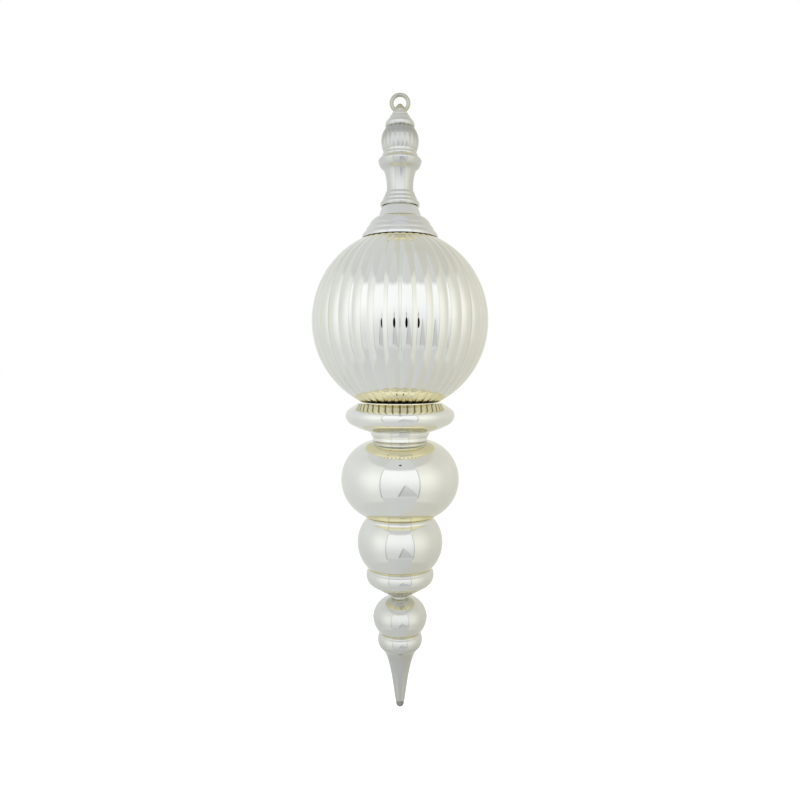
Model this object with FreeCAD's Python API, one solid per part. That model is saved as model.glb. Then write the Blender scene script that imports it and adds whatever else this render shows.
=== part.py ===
import FreeCAD, Part
import math
import os
from FreeCAD import Vector

# A hanging finial ornament of metallised plastic: a moulded hanging eye, a cap
# with a melon-shaped knop, a stepped skirt, a ribbed ball, a long blown drop of
# stacked bulbs, and a small plug that closes its tip. The pieces are hollow
# shells that plug into one another. Millimetres, +Z up, and the front is -Y.
# Heights run up from the tip while the outlines are drawn. The finished
# pieces are moved so that the origin is the centre of the hanging eye.

# Clearances, and how far a core lies under the creases of the lobes on it
PLUG_CLEARANCE = 0.3
SHADOW_GAP = 0.6
CORE_DEPTH = 0.1

# Tip plug
NUB_RADIUS = 4.5
NUB_HEIGHT = 8.2
TIP_STEM_RADIUS = 3.0
TIP_STEM_LENGTH = 10.0

# Drop, from its tip upward: the radii of each form, then its heights. A cove is the
# radius of the hollow that rounds the crease above a form.
DROP_WALL = 1.6
SPIKE_TIP_RADIUS = 5.3
SPIKE_SHAFT_RADIUS = 8.4
SPIKE_FLARE_RADIUS = 13.2
SPIKE_TOP_RADIUS = 18.4
SPIKE_SHAFT_HEIGHT = 21.0
SPIKE_FLARE_HEIGHT = 23.1
SPIKE_TOP_HEIGHT = 14.3
BEAD_RADIUS = 25.5
BEAD_TOP_RADIUS = 22.8
BEAD_HEIGHT = 20.9
BEAD_COVE = 3.5
BUD_LOW_RADIUS = 29.2
BUD_RADIUS = 31.1
BUD_HIGH_RADIUS = 26.4
BUD_LOW_HEIGHT = 8.5
BUD_MIDDLE_HEIGHT = 9.8
BUD_HIGH_HEIGHT = 12.2
WAIST_RADIUS = 7.6
WAIST_HEIGHT = 9.6
WAIST_COVE = 0.6
SAUCER_FLANK_RADIUS = 32.6
SAUCER_FLANK_SWELL = 0.3
SAUCER_TOP_RADIUS = 37.1
SAUCER_OVERHANG = 1.9
SAUCER_FLANK_HEIGHT = 14.8
SAUCER_MIDDLE_HEIGHT = 10.4
SAUCER_TOP_HEIGHT = 8.8
SAUCER_COVE = 5.5
GLOBE_RADIUS = 49.3
GLOBE_TOP_RADIUS = 36.6
GLOBE_HEIGHT = 59.2
GLOBE_COVE = 4.0
ONION_RADIUS = 68.2
ONION_TOP_RADIUS = 31.2
ONION_HEIGHT = 88.3
NECK_RING_RADIUS = 31.6
NECK_RING_HEIGHT = 3.5
NECK_BAND_FOOT_RADIUS = 32.4
NECK_BAND_RADIUS = 33.9
NECK_BAND_TOP_RADIUS = 34.6
NECK_BAND_HEIGHT = 6.2
DISC_FOOT_RADIUS = 35.6
DISC_LOW_FLANK_RADIUS = 57.4
DISC_LOW_FLANK_SWELL = 1.0
DISC_RADIUS = 63.2
DISC_HIGH_FLANK_RADIUS = 59.0
DISC_TOP_RADIUS = 48.6
DISC_LOW_FLANK_HEIGHT = 8.7
DISC_RIM_HEIGHT = 9.1
DISC_HIGH_FLANK_HEIGHT = 8.8
DISC_TOP_HEIGHT = 6.6
SPIGOT_HEIGHT = 10.0
SPIGOT_SEAT_WIDTH = 4.0

# Ball
BALL_RADIUS = 101.6
BALL_HALF_HEIGHT = 104.5
BALL_RIBS = 36
BALL_RIB_TURN = 28.0
BALL_INSIDE_DEPTH = 3.3
BALL_FOOT_RADIUS = 44.2
BALL_CROWN_RADIUS = 33.6

# Skirt, from its rim upward
SKIRT_WALL = 1.6
SKIRT_RIM_CLEARANCE = 1.2
SKIRT_RIM_RADIUS = 44.3
SKIRT_LOW_RADIUS = 41.2
SKIRT_LOW_HEIGHT = 6.6
SKIRT_MIDDLE_RADIUS = 37.2
SKIRT_MIDDLE_HEIGHT = 6.7
SKIRT_HIGH_RADIUS = 25.4
SKIRT_HIGH_HEIGHT = 11.5
SKIRT_RING_SWELL = 0.5
SKIRT_HIGH_SWELL = 2.0
SKIRT_LEDGE = 0.7
CONE_FOOT_RADIUS = 24.7
CONE_TOP_RADIUS = 20.9
CONE_HEIGHT = 11.5
CONE_REEDS = 48
CONE_REED_TURN = 30.0
SLEEVE_HEIGHT = 12.0
SKIRT_PLUG_HEIGHT = 8.0

# Cap, from its foot upward
CAP_WALL = 2.0
CAP_FOOT_RADIUS = 18.0
LIP_FOOT_RADIUS = 22.1
LIP_RADIUS = 22.8
LIP_TOP_RADIUS = 20.9
LIP_HEIGHT = 6.2
LIP_CREST_HEIGHT = 2.0
CAP_LOW_STEP_RADIUS = 18.6
CAP_LOW_STEP_HEIGHT = 5.2
CAP_HIGH_STEP_RADIUS = 16.5
CAP_HIGH_STEP_HEIGHT = 5.0
CAP_LEDGE = 0.7
CAP_STEP_SWELL = 0.4
STEM_RADIUS = 15.6
STEM_TOP_RADIUS = 17.9
STEM_HEIGHT = 23.4
FLARE_LOW_RADIUS = 20.9
FLARE_HIGH_RADIUS = 23.8
COLLAR_RADIUS = 25.3
FLARE_LOW_HEIGHT = 4.2
FLARE_HIGH_HEIGHT = 3.8
COLLAR_EDGE_HEIGHT = 4.6
COLLAR_TOP_RADIUS = 20.2
COLLAR_TOP_HEIGHT = 5.0
COLLAR_SWELL = 0.8
WAIST_BEAD_RADIUS = 20.6
WAIST_BEAD_HEIGHT = 4.0
CAP_WAIST_RADIUS = 19.0
CAP_WAIST_HEIGHT = 3.4
MELON_FOOT_RADIUS = 19.6
MELON_RADIUS = 21.7
MELON_TOP_RADIUS = 16.4
MELON_HEIGHT = 26.3
MELON_LOBES = 20
MELON_LOBE_TURN = 36.0
CROWN_BEAD_RADIUS = 17.0
CROWN_BEAD_TOP_RADIUS = 14.0
CROWN_BEAD_HEIGHT = 9.3
CROWN_BEAD_CREST_HEIGHT = 3.6
CROWN_LEDGE = 1.0
CROWN_LOW_STEP_RADIUS = 10.9
CROWN_LOW_STEP_HEIGHT = 5.0
CROWN_HIGH_STEP_RADIUS = 8.2
CROWN_HIGH_STEP_HEIGHT = 4.3

# Hanging eye
EYE_OUTER_RADIUS = 12.05
EYE_SECTION = 4.6
EYE_RISE = 10.65
EYE_FLANGE_RADIUS = 7.7
EYE_FLANGE_HEIGHT = 1.1
EYE_BOSS_RADIUS = 6.9
EYE_BOSS_HEIGHT = 4.6
EYE_BOSS_TIP_RADIUS = 2.0
EYE_BOSS_TIP_HEIGHT = 4.0
EYE_STEM_RADIUS = 5.0
EYE_STEM_LENGTH = 9.0


def crest_height(radius):
    """Height of the ball's rib crests above its middle, at a radius."""
    return BALL_HALF_HEIGHT * math.sqrt(1 - (radius / BALL_RADIUS) ** 2)


def mouth_radius(height):
    """Radius of the ball's cavity at a height from its middle."""
    share = height / (BALL_HALF_HEIGHT - BALL_INSIDE_DEPTH)
    return (BALL_RADIUS - BALL_INSIDE_DEPTH) * math.sqrt(1 - share ** 2)


# Levels, worked out from the tip upward
SPIKE_SHAFT = NUB_HEIGHT + SPIKE_SHAFT_HEIGHT
SPIKE_FLARE = SPIKE_SHAFT + SPIKE_FLARE_HEIGHT
BEAD_FOOT = SPIKE_FLARE + SPIKE_TOP_HEIGHT
BUD_FOOT = BEAD_FOOT + BEAD_HEIGHT
BUD_LOW = BUD_FOOT + BUD_LOW_HEIGHT
BUD_MIDDLE = BUD_LOW + BUD_MIDDLE_HEIGHT
BUD_HIGH = BUD_MIDDLE + BUD_HIGH_HEIGHT
WAIST = BUD_HIGH + WAIST_HEIGHT
SAUCER_FLANK = WAIST + SAUCER_FLANK_HEIGHT
SAUCER_MIDDLE = SAUCER_FLANK + SAUCER_MIDDLE_HEIGHT
GLOBE_FOOT = SAUCER_MIDDLE + SAUCER_TOP_HEIGHT
ONION_FOOT = GLOBE_FOOT + GLOBE_HEIGHT
NECK_FOOT = ONION_FOOT + ONION_HEIGHT
BAND_FOOT = NECK_FOOT + NECK_RING_HEIGHT
DISC_FOOT = BAND_FOOT + NECK_BAND_HEIGHT
DISC_LOW_FLANK = DISC_FOOT + DISC_LOW_FLANK_HEIGHT
DISC_RIM = DISC_LOW_FLANK + DISC_RIM_HEIGHT
DISC_HIGH_FLANK = DISC_RIM + DISC_HIGH_FLANK_HEIGHT
DISC_TOP = DISC_HIGH_FLANK + DISC_TOP_HEIGHT
BALL_SEAT = DISC_TOP + SHADOW_GAP
BALL_MIDDLE = BALL_SEAT + crest_height(BALL_FOOT_RADIUS)
SKIRT_SEAT = BALL_MIDDLE + crest_height(BALL_CROWN_RADIUS)
SKIRT_RIM = BALL_MIDDLE + crest_height(SKIRT_RIM_RADIUS) + SKIRT_RIM_CLEARANCE
SKIRT_LOW_TOP = SKIRT_RIM + SKIRT_LOW_HEIGHT
SKIRT_MIDDLE_TOP = SKIRT_LOW_TOP + SKIRT_MIDDLE_HEIGHT
CONE_FOOT = SKIRT_MIDDLE_TOP + SKIRT_HIGH_HEIGHT
CAP_SEAT = CONE_FOOT + CONE_HEIGHT
LIP_FOOT = CAP_SEAT + SHADOW_GAP
LIP_TOP = LIP_FOOT + LIP_HEIGHT
CAP_LOW_STEP = LIP_TOP + CAP_LOW_STEP_HEIGHT
STEM_FOOT = CAP_LOW_STEP + CAP_HIGH_STEP_HEIGHT
STEM_TOP = STEM_FOOT + STEM_HEIGHT
FLARE_LOW = STEM_TOP + FLARE_LOW_HEIGHT
FLARE_HIGH = FLARE_LOW + FLARE_HIGH_HEIGHT
COLLAR_EDGE = FLARE_HIGH + COLLAR_EDGE_HEIGHT
WAIST_BEAD_FOOT = COLLAR_EDGE + COLLAR_TOP_HEIGHT
CAP_WAIST_FOOT = WAIST_BEAD_FOOT + WAIST_BEAD_HEIGHT
MELON_FOOT = CAP_WAIST_FOOT + CAP_WAIST_HEIGHT
CROWN_FOOT = MELON_FOOT + MELON_HEIGHT
CROWN_LOW_STEP = CROWN_FOOT + CROWN_BEAD_HEIGHT
CROWN_HIGH_STEP = CROWN_LOW_STEP + CROWN_LOW_STEP_HEIGHT
EYE_SEAT = CROWN_HIGH_STEP + CROWN_HIGH_STEP_HEIGHT
EYE_CENTRE = EYE_SEAT + EYE_RISE

# Radii of the plugs that enter the mouths
SPIGOT_RADIUS = mouth_radius(BALL_MIDDLE - BALL_SEAT) - PLUG_CLEARANCE
SLEEVE_RADIUS = mouth_radius(SKIRT_SEAT - BALL_MIDDLE) - PLUG_CLEARANCE
SKIRT_PLUG_RADIUS = STEM_RADIUS - CAP_WALL - PLUG_CLEARANCE


class Outline:
    """Half section of a round piece, from its foot up: radius along X, height along Z."""

    def __init__(self, radius, height):
        self.start = Vector(radius, 0, height)
        self.at = self.start
        self.edges = []

    def add(self, curve):
        self.edges.append(curve.toShape())
        self.at = self.edges[-1].lastVertex().Point

    def line(self, radius, height):
        self.add(Part.LineSegment(self.at, Vector(radius, 0, height)))

    def ledge(self, radius):
        """Level step in or out to a radius."""
        self.line(radius, self.at.z)

    def arc(self, middle_radius, middle_height, radius, height):
        middle = Vector(middle_radius, 0, middle_height)
        self.add(Part.Arc(self.at, middle, Vector(radius, 0, height)))

    def bulge(self, middle_radius, radius, height):
        """Arc that has its middle radius half way up."""
        self.arc(middle_radius, (self.at.z + height) / 2, radius, height)

    def bead(self, swell, radius, height):
        """Arc that stands out by swell from the straight line to its end."""
        end = Vector(radius, 0, height)
        side = (end - self.at).normalize()
        middle = (self.at + end) / 2 + Vector(side.z, 0, -side.x) * swell
        self.arc(middle.x, middle.z, radius, height)

    def flow(self, radius, height):
        """Arc that leaves the last edge in that edge's direction."""
        heading = self.edges[-1].tangentAt(self.edges[-1].LastParameter)
        chord = Vector(radius, 0, height) - self.at
        side = chord / chord.Length
        away = heading.dot(Vector(side.z, 0, -side.x)) / (1 + heading.dot(side))
        self.bead(away * chord.Length / 2, radius, height)

    def solid(self):
        """The outline turned about the axis and filled."""
        head = Vector(0, 0, self.at.z)
        foot = Vector(0, 0, self.start.z)
        corners = [self.at, head, foot, self.start]
        closing = [Part.LineSegment(a, b).toShape()
                   for a, b in zip(corners, corners[1:]) if a.distanceToPoint(b) > 0]
        return turned(Part.Face(Part.Wire(self.edges + closing)))

    def cavity(self, wall):
        """The space that an even wall leaves inside the turned outline."""
        mirrored = [edge.mirror(Vector(0, 0, 0), Vector(1, 0, 0)) for edge in self.edges]
        ends = [Part.LineSegment(end, Vector(-end.x, 0, end.z)).toShape()
                for end in (self.start, self.at)]
        whole = Part.Face(Part.Wire(Part.sortEdges(self.edges + mirrored + ends)[0]))
        inner = whole.makeOffset2D(-wall)
        box = inner.BoundBox
        half = Part.makeBox(box.XMax + wall, 2 * wall, box.ZLength, Vector(0, -wall, box.ZMin))
        return turned(inner.common(half).Faces[0])


def turned(face):
    """Solid of a half section turned about the axis."""
    return face.revolve(Vector(0, 0, 0), Vector(0, 0, 1), 360)


def coved(body, radius, height, cove):
    """Body with the crease at a radius and height rounded to a hollow."""
    crease = min(body.Edges, key=lambda edge: edge.distToShape(
        Part.Vertex(radius, 0, height))[0] + edge.BoundBox.ZLength)
    return body.makeFillet(cove, [crease])


def opened_below(cavity, wall):
    """Cavity that also runs down through the wall under it."""
    floor = min(cavity.Faces, key=lambda face: face.CenterOfMass.z)
    return cavity.fuse(floor.extrude(Vector(0, 0, -wall)))


def rod(radius, foot, head):
    """Round rod about the axis."""
    return Part.makeCylinder(radius, head - foot, Vector(0, 0, foot))


def crease_share(count, turn):
    """Radius of the creases between rounded lobes, as a share of the crest radius."""
    half = math.pi / count
    return 1 / (math.cos(half) + math.sin(half) * math.tan(math.radians(turn) / 2))


def lobed(profile, count, turn):
    """Solid whose every level is a ring of rounded lobes. The profile is an edge that
    gives the crest radius at each height. At the creases a lobe has turned by turn."""
    half = math.pi / count
    crease = crease_share(count, turn)
    near = crease * math.cos(half)
    aside = crease * math.sin(half)
    shoulder = near + aside * math.tan(math.radians(turn))
    lobe = [(near, -aside, 1.0), (shoulder, 0.0, math.cos(math.radians(turn))), (near, aside, 1.0)]
    spline = profile.Curve.toBSpline(profile.FirstParameter, profile.LastParameter)
    poles = [[Vector(x * p.x, y * p.x, p.z) for p in spline.getPoles()] for x, y, _ in lobe]
    weights = [[share * w for w in spline.getWeights()] for _, _, share in lobe]
    surface = Part.BSplineSurface()
    surface.buildFromPolesMultsKnots(poles, [3, 3], spline.getMultiplicities(), [0.0, 1.0],
                                     spline.getKnots(), False, False, 2, spline.Degree, weights)
    sides = []
    for index in range(count):
        side = surface.toShape()
        side.rotate(Vector(0, 0, 0), Vector(0, 0, 1), (index + 0.5) * 360 / count)
        sides.append(side)
    ends = []
    for vertex in profile.Vertexes:
        level = vertex.Point.z
        rims = [edge for side in sides for edge in side.Edges
                if edge.BoundBox.ZLength < 1e-6 and abs(edge.BoundBox.ZMin - level) < 1e-6]
        ends.append(Part.Face(Part.Wire(Part.sortEdges(rims)[0])))
    shell = Part.makeShell(sides + ends)
    shell.sewShape()
    solid = Part.makeSolid(shell)
    if solid.Volume < 0:
        solid.reverse()
    return solid


def meridian(radius, half_height, low, high):
    """Elliptic arc about the origin, from one height to another."""
    turns = [math.asin(height / half_height) for height in (low, high)]
    turns.insert(1, sum(turns) / 2)
    circle = Part.Arc(*[Vector(radius * math.cos(t), 0, radius * math.sin(t)) for t in turns])
    stretch = FreeCAD.Matrix()
    stretch.scale(1, 1, half_height / radius)
    return circle.toShape().transformGeometry(stretch).Edges[0]


def make_tip_plug():
    """Domed nub that closes the blown tip, with a stem that enters it."""
    outline = Outline(0, 0)
    slope = math.radians(45)
    outline.arc(NUB_RADIUS * math.sin(slope), NUB_RADIUS * (1 - math.cos(slope)),
                NUB_RADIUS, NUB_RADIUS)
    outline.line(NUB_RADIUS, NUB_HEIGHT)
    outline.ledge(TIP_STEM_RADIUS)
    outline.line(TIP_STEM_RADIUS, NUB_HEIGHT + TIP_STEM_LENGTH)
    return outline.solid()


def make_drop():
    """Blown drop: spike, bead, bud, saucer, globe, onion, neck and disc."""
    outline = Outline(SPIKE_TIP_RADIUS, NUB_HEIGHT)
    outline.line(SPIKE_SHAFT_RADIUS, SPIKE_SHAFT)
    outline.flow(SPIKE_FLARE_RADIUS, SPIKE_FLARE)
    outline.flow(SPIKE_TOP_RADIUS, BEAD_FOOT)
    outline.bulge(BEAD_RADIUS, BEAD_TOP_RADIUS, BUD_FOOT)
    outline.arc(BUD_LOW_RADIUS, BUD_LOW, BUD_RADIUS, BUD_MIDDLE)
    outline.arc(BUD_HIGH_RADIUS, BUD_HIGH, WAIST_RADIUS, WAIST)
    outline.bead(SAUCER_FLANK_SWELL, SAUCER_FLANK_RADIUS, SAUCER_FLANK)
    outline.arc(SAUCER_TOP_RADIUS + SAUCER_OVERHANG, SAUCER_MIDDLE, SAUCER_TOP_RADIUS, GLOBE_FOOT)
    outline.bulge(GLOBE_RADIUS, GLOBE_TOP_RADIUS, ONION_FOOT)
    outline.bulge(ONION_RADIUS, ONION_TOP_RADIUS, NECK_FOOT)
    outline.bulge(NECK_RING_RADIUS, ONION_TOP_RADIUS, BAND_FOOT)
    outline.ledge(NECK_BAND_FOOT_RADIUS)
    outline.bulge(NECK_BAND_RADIUS, NECK_BAND_TOP_RADIUS, DISC_FOOT)
    outline.ledge(DISC_FOOT_RADIUS)
    outline.bead(DISC_LOW_FLANK_SWELL, DISC_LOW_FLANK_RADIUS, DISC_LOW_FLANK)
    outline.flow(DISC_RADIUS, DISC_RIM)
    outline.flow(DISC_HIGH_FLANK_RADIUS, DISC_HIGH_FLANK)
    outline.flow(DISC_TOP_RADIUS, DISC_TOP)
    outline.ledge(SPIGOT_RADIUS + SPIGOT_SEAT_WIDTH)
    outline.line(SPIGOT_RADIUS + SPIGOT_SEAT_WIDTH, BALL_SEAT)
    outline.ledge(SPIGOT_RADIUS)
    outline.line(SPIGOT_RADIUS, BALL_SEAT + SPIGOT_HEIGHT)
    body = outline.solid()
    body = coved(body, BEAD_TOP_RADIUS, BUD_FOOT, BEAD_COVE)
    body = coved(body, WAIST_RADIUS, WAIST, WAIST_COVE)
    body = coved(body, SAUCER_TOP_RADIUS, GLOBE_FOOT, SAUCER_COVE)
    body = coved(body, GLOBE_TOP_RADIUS, ONION_FOOT, GLOBE_COVE)
    shell = body.cut(outline.cavity(DROP_WALL))
    top_mouth = rod(SPIGOT_RADIUS - DROP_WALL, BALL_SEAT, BALL_SEAT + SPIGOT_HEIGHT + DROP_WALL)
    tip_mouth = rod(TIP_STEM_RADIUS + PLUG_CLEARANCE, 0, NUB_HEIGHT + TIP_STEM_LENGTH)
    return shell.cut(top_mouth).cut(tip_mouth)


def make_ball():
    """Ribbed ball, open at its foot and crown for the pieces that plug into it."""
    crests = meridian(BALL_RADIUS, BALL_HALF_HEIGHT,
                      BALL_SEAT - BALL_MIDDLE, SKIRT_SEAT - BALL_MIDDLE)
    top = BALL_HALF_HEIGHT - BALL_INSIDE_DEPTH
    inside = meridian(BALL_RADIUS - BALL_INSIDE_DEPTH, top, -top, top)
    axis = Part.LineSegment(Vector(0, 0, top), Vector(0, 0, -top)).toShape()
    hollow = turned(Part.Face(Part.Wire([inside, axis])))
    ball = lobed(crests, BALL_RIBS, BALL_RIB_TURN).cut(hollow)
    ball.translate(Vector(0, 0, BALL_MIDDLE))
    return ball


def make_skirt():
    """Stepped skirt over the ball's crown, with a reeded cone and a plug for the cap on
    top, and inside it a seat plate with a sleeve that enters the ball."""
    core = crease_share(CONE_REEDS, CONE_REED_TURN)
    outline = Outline(SKIRT_RIM_RADIUS, SKIRT_RIM)
    outline.bead(SKIRT_RING_SWELL, SKIRT_LOW_RADIUS, SKIRT_LOW_TOP)
    outline.ledge(SKIRT_LOW_RADIUS - SKIRT_LEDGE)
    outline.bead(SKIRT_RING_SWELL, SKIRT_MIDDLE_RADIUS, SKIRT_MIDDLE_TOP)
    outline.ledge(SKIRT_MIDDLE_RADIUS - SKIRT_LEDGE)
    outline.bead(SKIRT_HIGH_SWELL, SKIRT_HIGH_RADIUS, CONE_FOOT)
    outline.ledge(CONE_FOOT_RADIUS * core - CORE_DEPTH)
    outline.line(CONE_TOP_RADIUS * core - CORE_DEPTH, CAP_SEAT)
    outline.ledge(SKIRT_PLUG_RADIUS)
    outline.line(SKIRT_PLUG_RADIUS, CAP_SEAT + SKIRT_PLUG_HEIGHT)
    reeds = Part.LineSegment(Vector(CONE_FOOT_RADIUS, 0, CONE_FOOT),
                             Vector(CONE_TOP_RADIUS, 0, CAP_SEAT)).toShape()
    body = outline.solid().fuse(lobed(reeds, CONE_REEDS, CONE_REED_TURN))
    plate = outline.solid().common(rod(SKIRT_RIM_RADIUS, SKIRT_SEAT, SKIRT_SEAT + SKIRT_WALL))
    sleeve = rod(SLEEVE_RADIUS, SKIRT_SEAT - SLEEVE_HEIGHT, SKIRT_SEAT + SKIRT_WALL)
    bore = rod(SLEEVE_RADIUS - SKIRT_WALL, SKIRT_SEAT - SLEEVE_HEIGHT, SKIRT_SEAT + SKIRT_WALL)
    inside = opened_below(outline.cavity(SKIRT_WALL), SKIRT_WALL)
    skirt = body.cut(inside).fuse([plate, sleeve]).cut(bore)
    return skirt.removeSplitter()


def make_cap():
    """Cap of a lip, steps, stem, collar, lobed melon and crown, hollow inside."""
    core = crease_share(MELON_LOBES, MELON_LOBE_TURN)
    outline = Outline(CAP_FOOT_RADIUS, CAP_SEAT)
    outline.line(CAP_FOOT_RADIUS, LIP_FOOT)
    outline.ledge(LIP_FOOT_RADIUS)
    outline.arc(LIP_RADIUS, LIP_FOOT + LIP_CREST_HEIGHT, LIP_TOP_RADIUS, LIP_TOP)
    outline.ledge(LIP_TOP_RADIUS - CAP_LEDGE)
    outline.bead(CAP_STEP_SWELL, CAP_LOW_STEP_RADIUS, CAP_LOW_STEP)
    outline.ledge(CAP_LOW_STEP_RADIUS - CAP_LEDGE)
    outline.bead(CAP_STEP_SWELL, CAP_HIGH_STEP_RADIUS, STEM_FOOT)
    outline.ledge(CAP_HIGH_STEP_RADIUS - CAP_LEDGE)
    outline.bulge(STEM_RADIUS, STEM_TOP_RADIUS, STEM_TOP)
    outline.flow(FLARE_LOW_RADIUS, FLARE_LOW)
    outline.flow(FLARE_HIGH_RADIUS, FLARE_HIGH)
    outline.flow(COLLAR_RADIUS, COLLAR_EDGE)
    outline.bead(COLLAR_SWELL, COLLAR_TOP_RADIUS, WAIST_BEAD_FOOT)
    outline.bulge(WAIST_BEAD_RADIUS, CAP_WAIST_RADIUS + CAP_LEDGE, CAP_WAIST_FOOT)
    outline.ledge(CAP_WAIST_RADIUS)
    outline.line(CAP_WAIST_RADIUS, MELON_FOOT)
    outline.ledge(MELON_FOOT_RADIUS * core - CORE_DEPTH)
    outline.bulge(MELON_RADIUS * core - CORE_DEPTH, MELON_TOP_RADIUS * core - CORE_DEPTH,
                  CROWN_FOOT)
    outline.ledge(MELON_TOP_RADIUS)
    outline.arc(CROWN_BEAD_RADIUS, CROWN_FOOT + CROWN_BEAD_CREST_HEIGHT,
                CROWN_BEAD_TOP_RADIUS, CROWN_LOW_STEP)
    outline.ledge(CROWN_BEAD_TOP_RADIUS - CROWN_LEDGE)
    outline.bead(CAP_STEP_SWELL, CROWN_LOW_STEP_RADIUS, CROWN_HIGH_STEP)
    outline.ledge(CROWN_LOW_STEP_RADIUS - CROWN_LEDGE)
    outline.bead(CAP_STEP_SWELL, CROWN_HIGH_STEP_RADIUS, EYE_SEAT)
    crests = Part.Arc(Vector(MELON_FOOT_RADIUS, 0, MELON_FOOT),
                      Vector(MELON_RADIUS, 0, (MELON_FOOT + CROWN_FOOT) / 2),
                      Vector(MELON_TOP_RADIUS, 0, CROWN_FOOT)).toShape()
    foot_mouth = rod(SKIRT_PLUG_RADIUS + PLUG_CLEARANCE, CAP_SEAT, STEM_FOOT)
    head_mouth = rod(EYE_STEM_RADIUS + PLUG_CLEARANCE, CROWN_HIGH_STEP, EYE_SEAT)
    body = outline.solid().fuse(lobed(crests, MELON_LOBES, MELON_LOBE_TURN))
    cap = body.cut(outline.cavity(CAP_WALL)).cut(foot_mouth).cut(head_mouth)
    return cap.removeSplitter()


def make_hanging_eye():
    """Moulded ring that stands on a pointed boss, with a stem that enters the cap."""
    section = EYE_SECTION / 2
    ring = Part.makeTorus(EYE_OUTER_RADIUS - section, section, Vector(0, 0, EYE_CENTRE),
                          Vector(0, 1, 0))
    outline = Outline(EYE_STEM_RADIUS, EYE_SEAT - EYE_STEM_LENGTH)
    outline.line(EYE_STEM_RADIUS, EYE_SEAT)
    outline.ledge(EYE_FLANGE_RADIUS)
    outline.line(EYE_FLANGE_RADIUS, EYE_SEAT + EYE_FLANGE_HEIGHT)
    outline.ledge(EYE_BOSS_RADIUS)
    boss_top = EYE_SEAT + EYE_FLANGE_HEIGHT + EYE_BOSS_HEIGHT
    outline.line(EYE_BOSS_RADIUS, boss_top)
    outline.bead(EYE_BOSS_TIP_RADIUS / 4, EYE_BOSS_TIP_RADIUS, boss_top + EYE_BOSS_TIP_HEIGHT)
    below = rod(EYE_OUTER_RADIUS, EYE_SEAT - EYE_STEM_LENGTH, EYE_SEAT)
    return outline.solid().fuse(ring.cut(below)).removeSplitter()


PIECES = {
    "tip_plug": make_tip_plug,
    "drop": make_drop,
    "ball": make_ball,
    "skirt": make_skirt,
    "cap": make_cap,
    "hanging_eye": make_hanging_eye,
}

os.makedirs("parts", exist_ok=True)
for name, make in PIECES.items():
    piece = make()
    piece.translate(Vector(0, 0, -EYE_CENTRE))
    piece.exportStep(f"parts/{name}.step")
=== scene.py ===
import bpy
import math
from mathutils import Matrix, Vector


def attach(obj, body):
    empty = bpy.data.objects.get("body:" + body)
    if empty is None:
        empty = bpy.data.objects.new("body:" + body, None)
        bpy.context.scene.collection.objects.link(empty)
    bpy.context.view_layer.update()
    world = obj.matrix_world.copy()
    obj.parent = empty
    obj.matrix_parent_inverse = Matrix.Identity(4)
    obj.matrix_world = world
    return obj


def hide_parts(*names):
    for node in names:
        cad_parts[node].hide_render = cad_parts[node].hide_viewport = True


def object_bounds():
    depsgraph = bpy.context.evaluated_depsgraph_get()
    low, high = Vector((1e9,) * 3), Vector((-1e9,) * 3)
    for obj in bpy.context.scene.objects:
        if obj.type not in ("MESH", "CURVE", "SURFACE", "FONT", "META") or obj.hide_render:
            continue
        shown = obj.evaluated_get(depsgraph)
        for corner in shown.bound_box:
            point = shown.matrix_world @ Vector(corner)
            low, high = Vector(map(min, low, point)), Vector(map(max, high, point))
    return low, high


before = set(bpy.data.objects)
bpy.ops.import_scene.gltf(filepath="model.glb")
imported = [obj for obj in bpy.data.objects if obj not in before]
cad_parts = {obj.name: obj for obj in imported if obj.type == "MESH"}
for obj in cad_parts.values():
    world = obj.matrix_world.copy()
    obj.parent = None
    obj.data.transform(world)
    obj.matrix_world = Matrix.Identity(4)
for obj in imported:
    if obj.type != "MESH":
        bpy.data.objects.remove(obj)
cad_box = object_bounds()

# The drop: disc, neck, onion, globe, saucer, bud, bead and spike. The real one is
# blown as one hollow piece of clear plastic and metallised, so its forms run into
# each other with soft shoulders and no joints. Heights are millimetres above the tip,
# and an outline value ends with the radius and height that its stretch reaches.
EYE_HEIGHT = 699.186
NUB_TOP = 8.2
SPIKE_FOOT_RADIUS = 5.3
SPIKE_TOP_EASE = 5.0
SPIKE = [(8.4, 29.2), (13.2, 52.3), (18.4, 66.6)]
BEAD = (25.5, 77.05, 25.0, 83.0)
BEAD_SHOULDER = (22.3, 86.5)
BEAD_COVE = 1.8
BUD_LOW = (29.2, 96.0, 31.1, 105.8)
BUD_HIGH = (26.4, 118.0, 7.6, 127.6)
WAIST_COVE = 0.6
SAUCER_FLANK = (0.3, 32.6, 142.4)
SAUCER = (39.0, 152.8, 38.5, 157.4)
SAUCER_SHOULDER = (35.8, 161.1)
SAUCER_COVE = 2.0
GLOBE = (49.3, 36.6, 220.8)
GLOBE_COVE = 4.0
ONION = (68.2, 31.2, 309.1)
NECK_RING = (31.7, 31.2, 312.6)
NECK_BAND_FOOT_RADIUS = 32.4
NECK_BAND = (33.9, 34.6, 318.8)
DISC_FOOT_RADIUS = 35.6
DISC = [(57.4, 327.5), (63.2, 336.6), (59.0, 345.4), (48.6, 352.0)]
DISC_FLANK_SWELL = 1.0
SEAT_RADIUS = 39.9
BALL_SEAT = 352.6
DROP_SEGMENTS = 192
DROP_SHARP_TURN = 28.0
STRAIGHT_STEP = 4.0
FLAT_TURN = 1e-4
ARC_STEPS = 3
COVE_STEPS = 6
EASE_STEPS = 12


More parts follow.
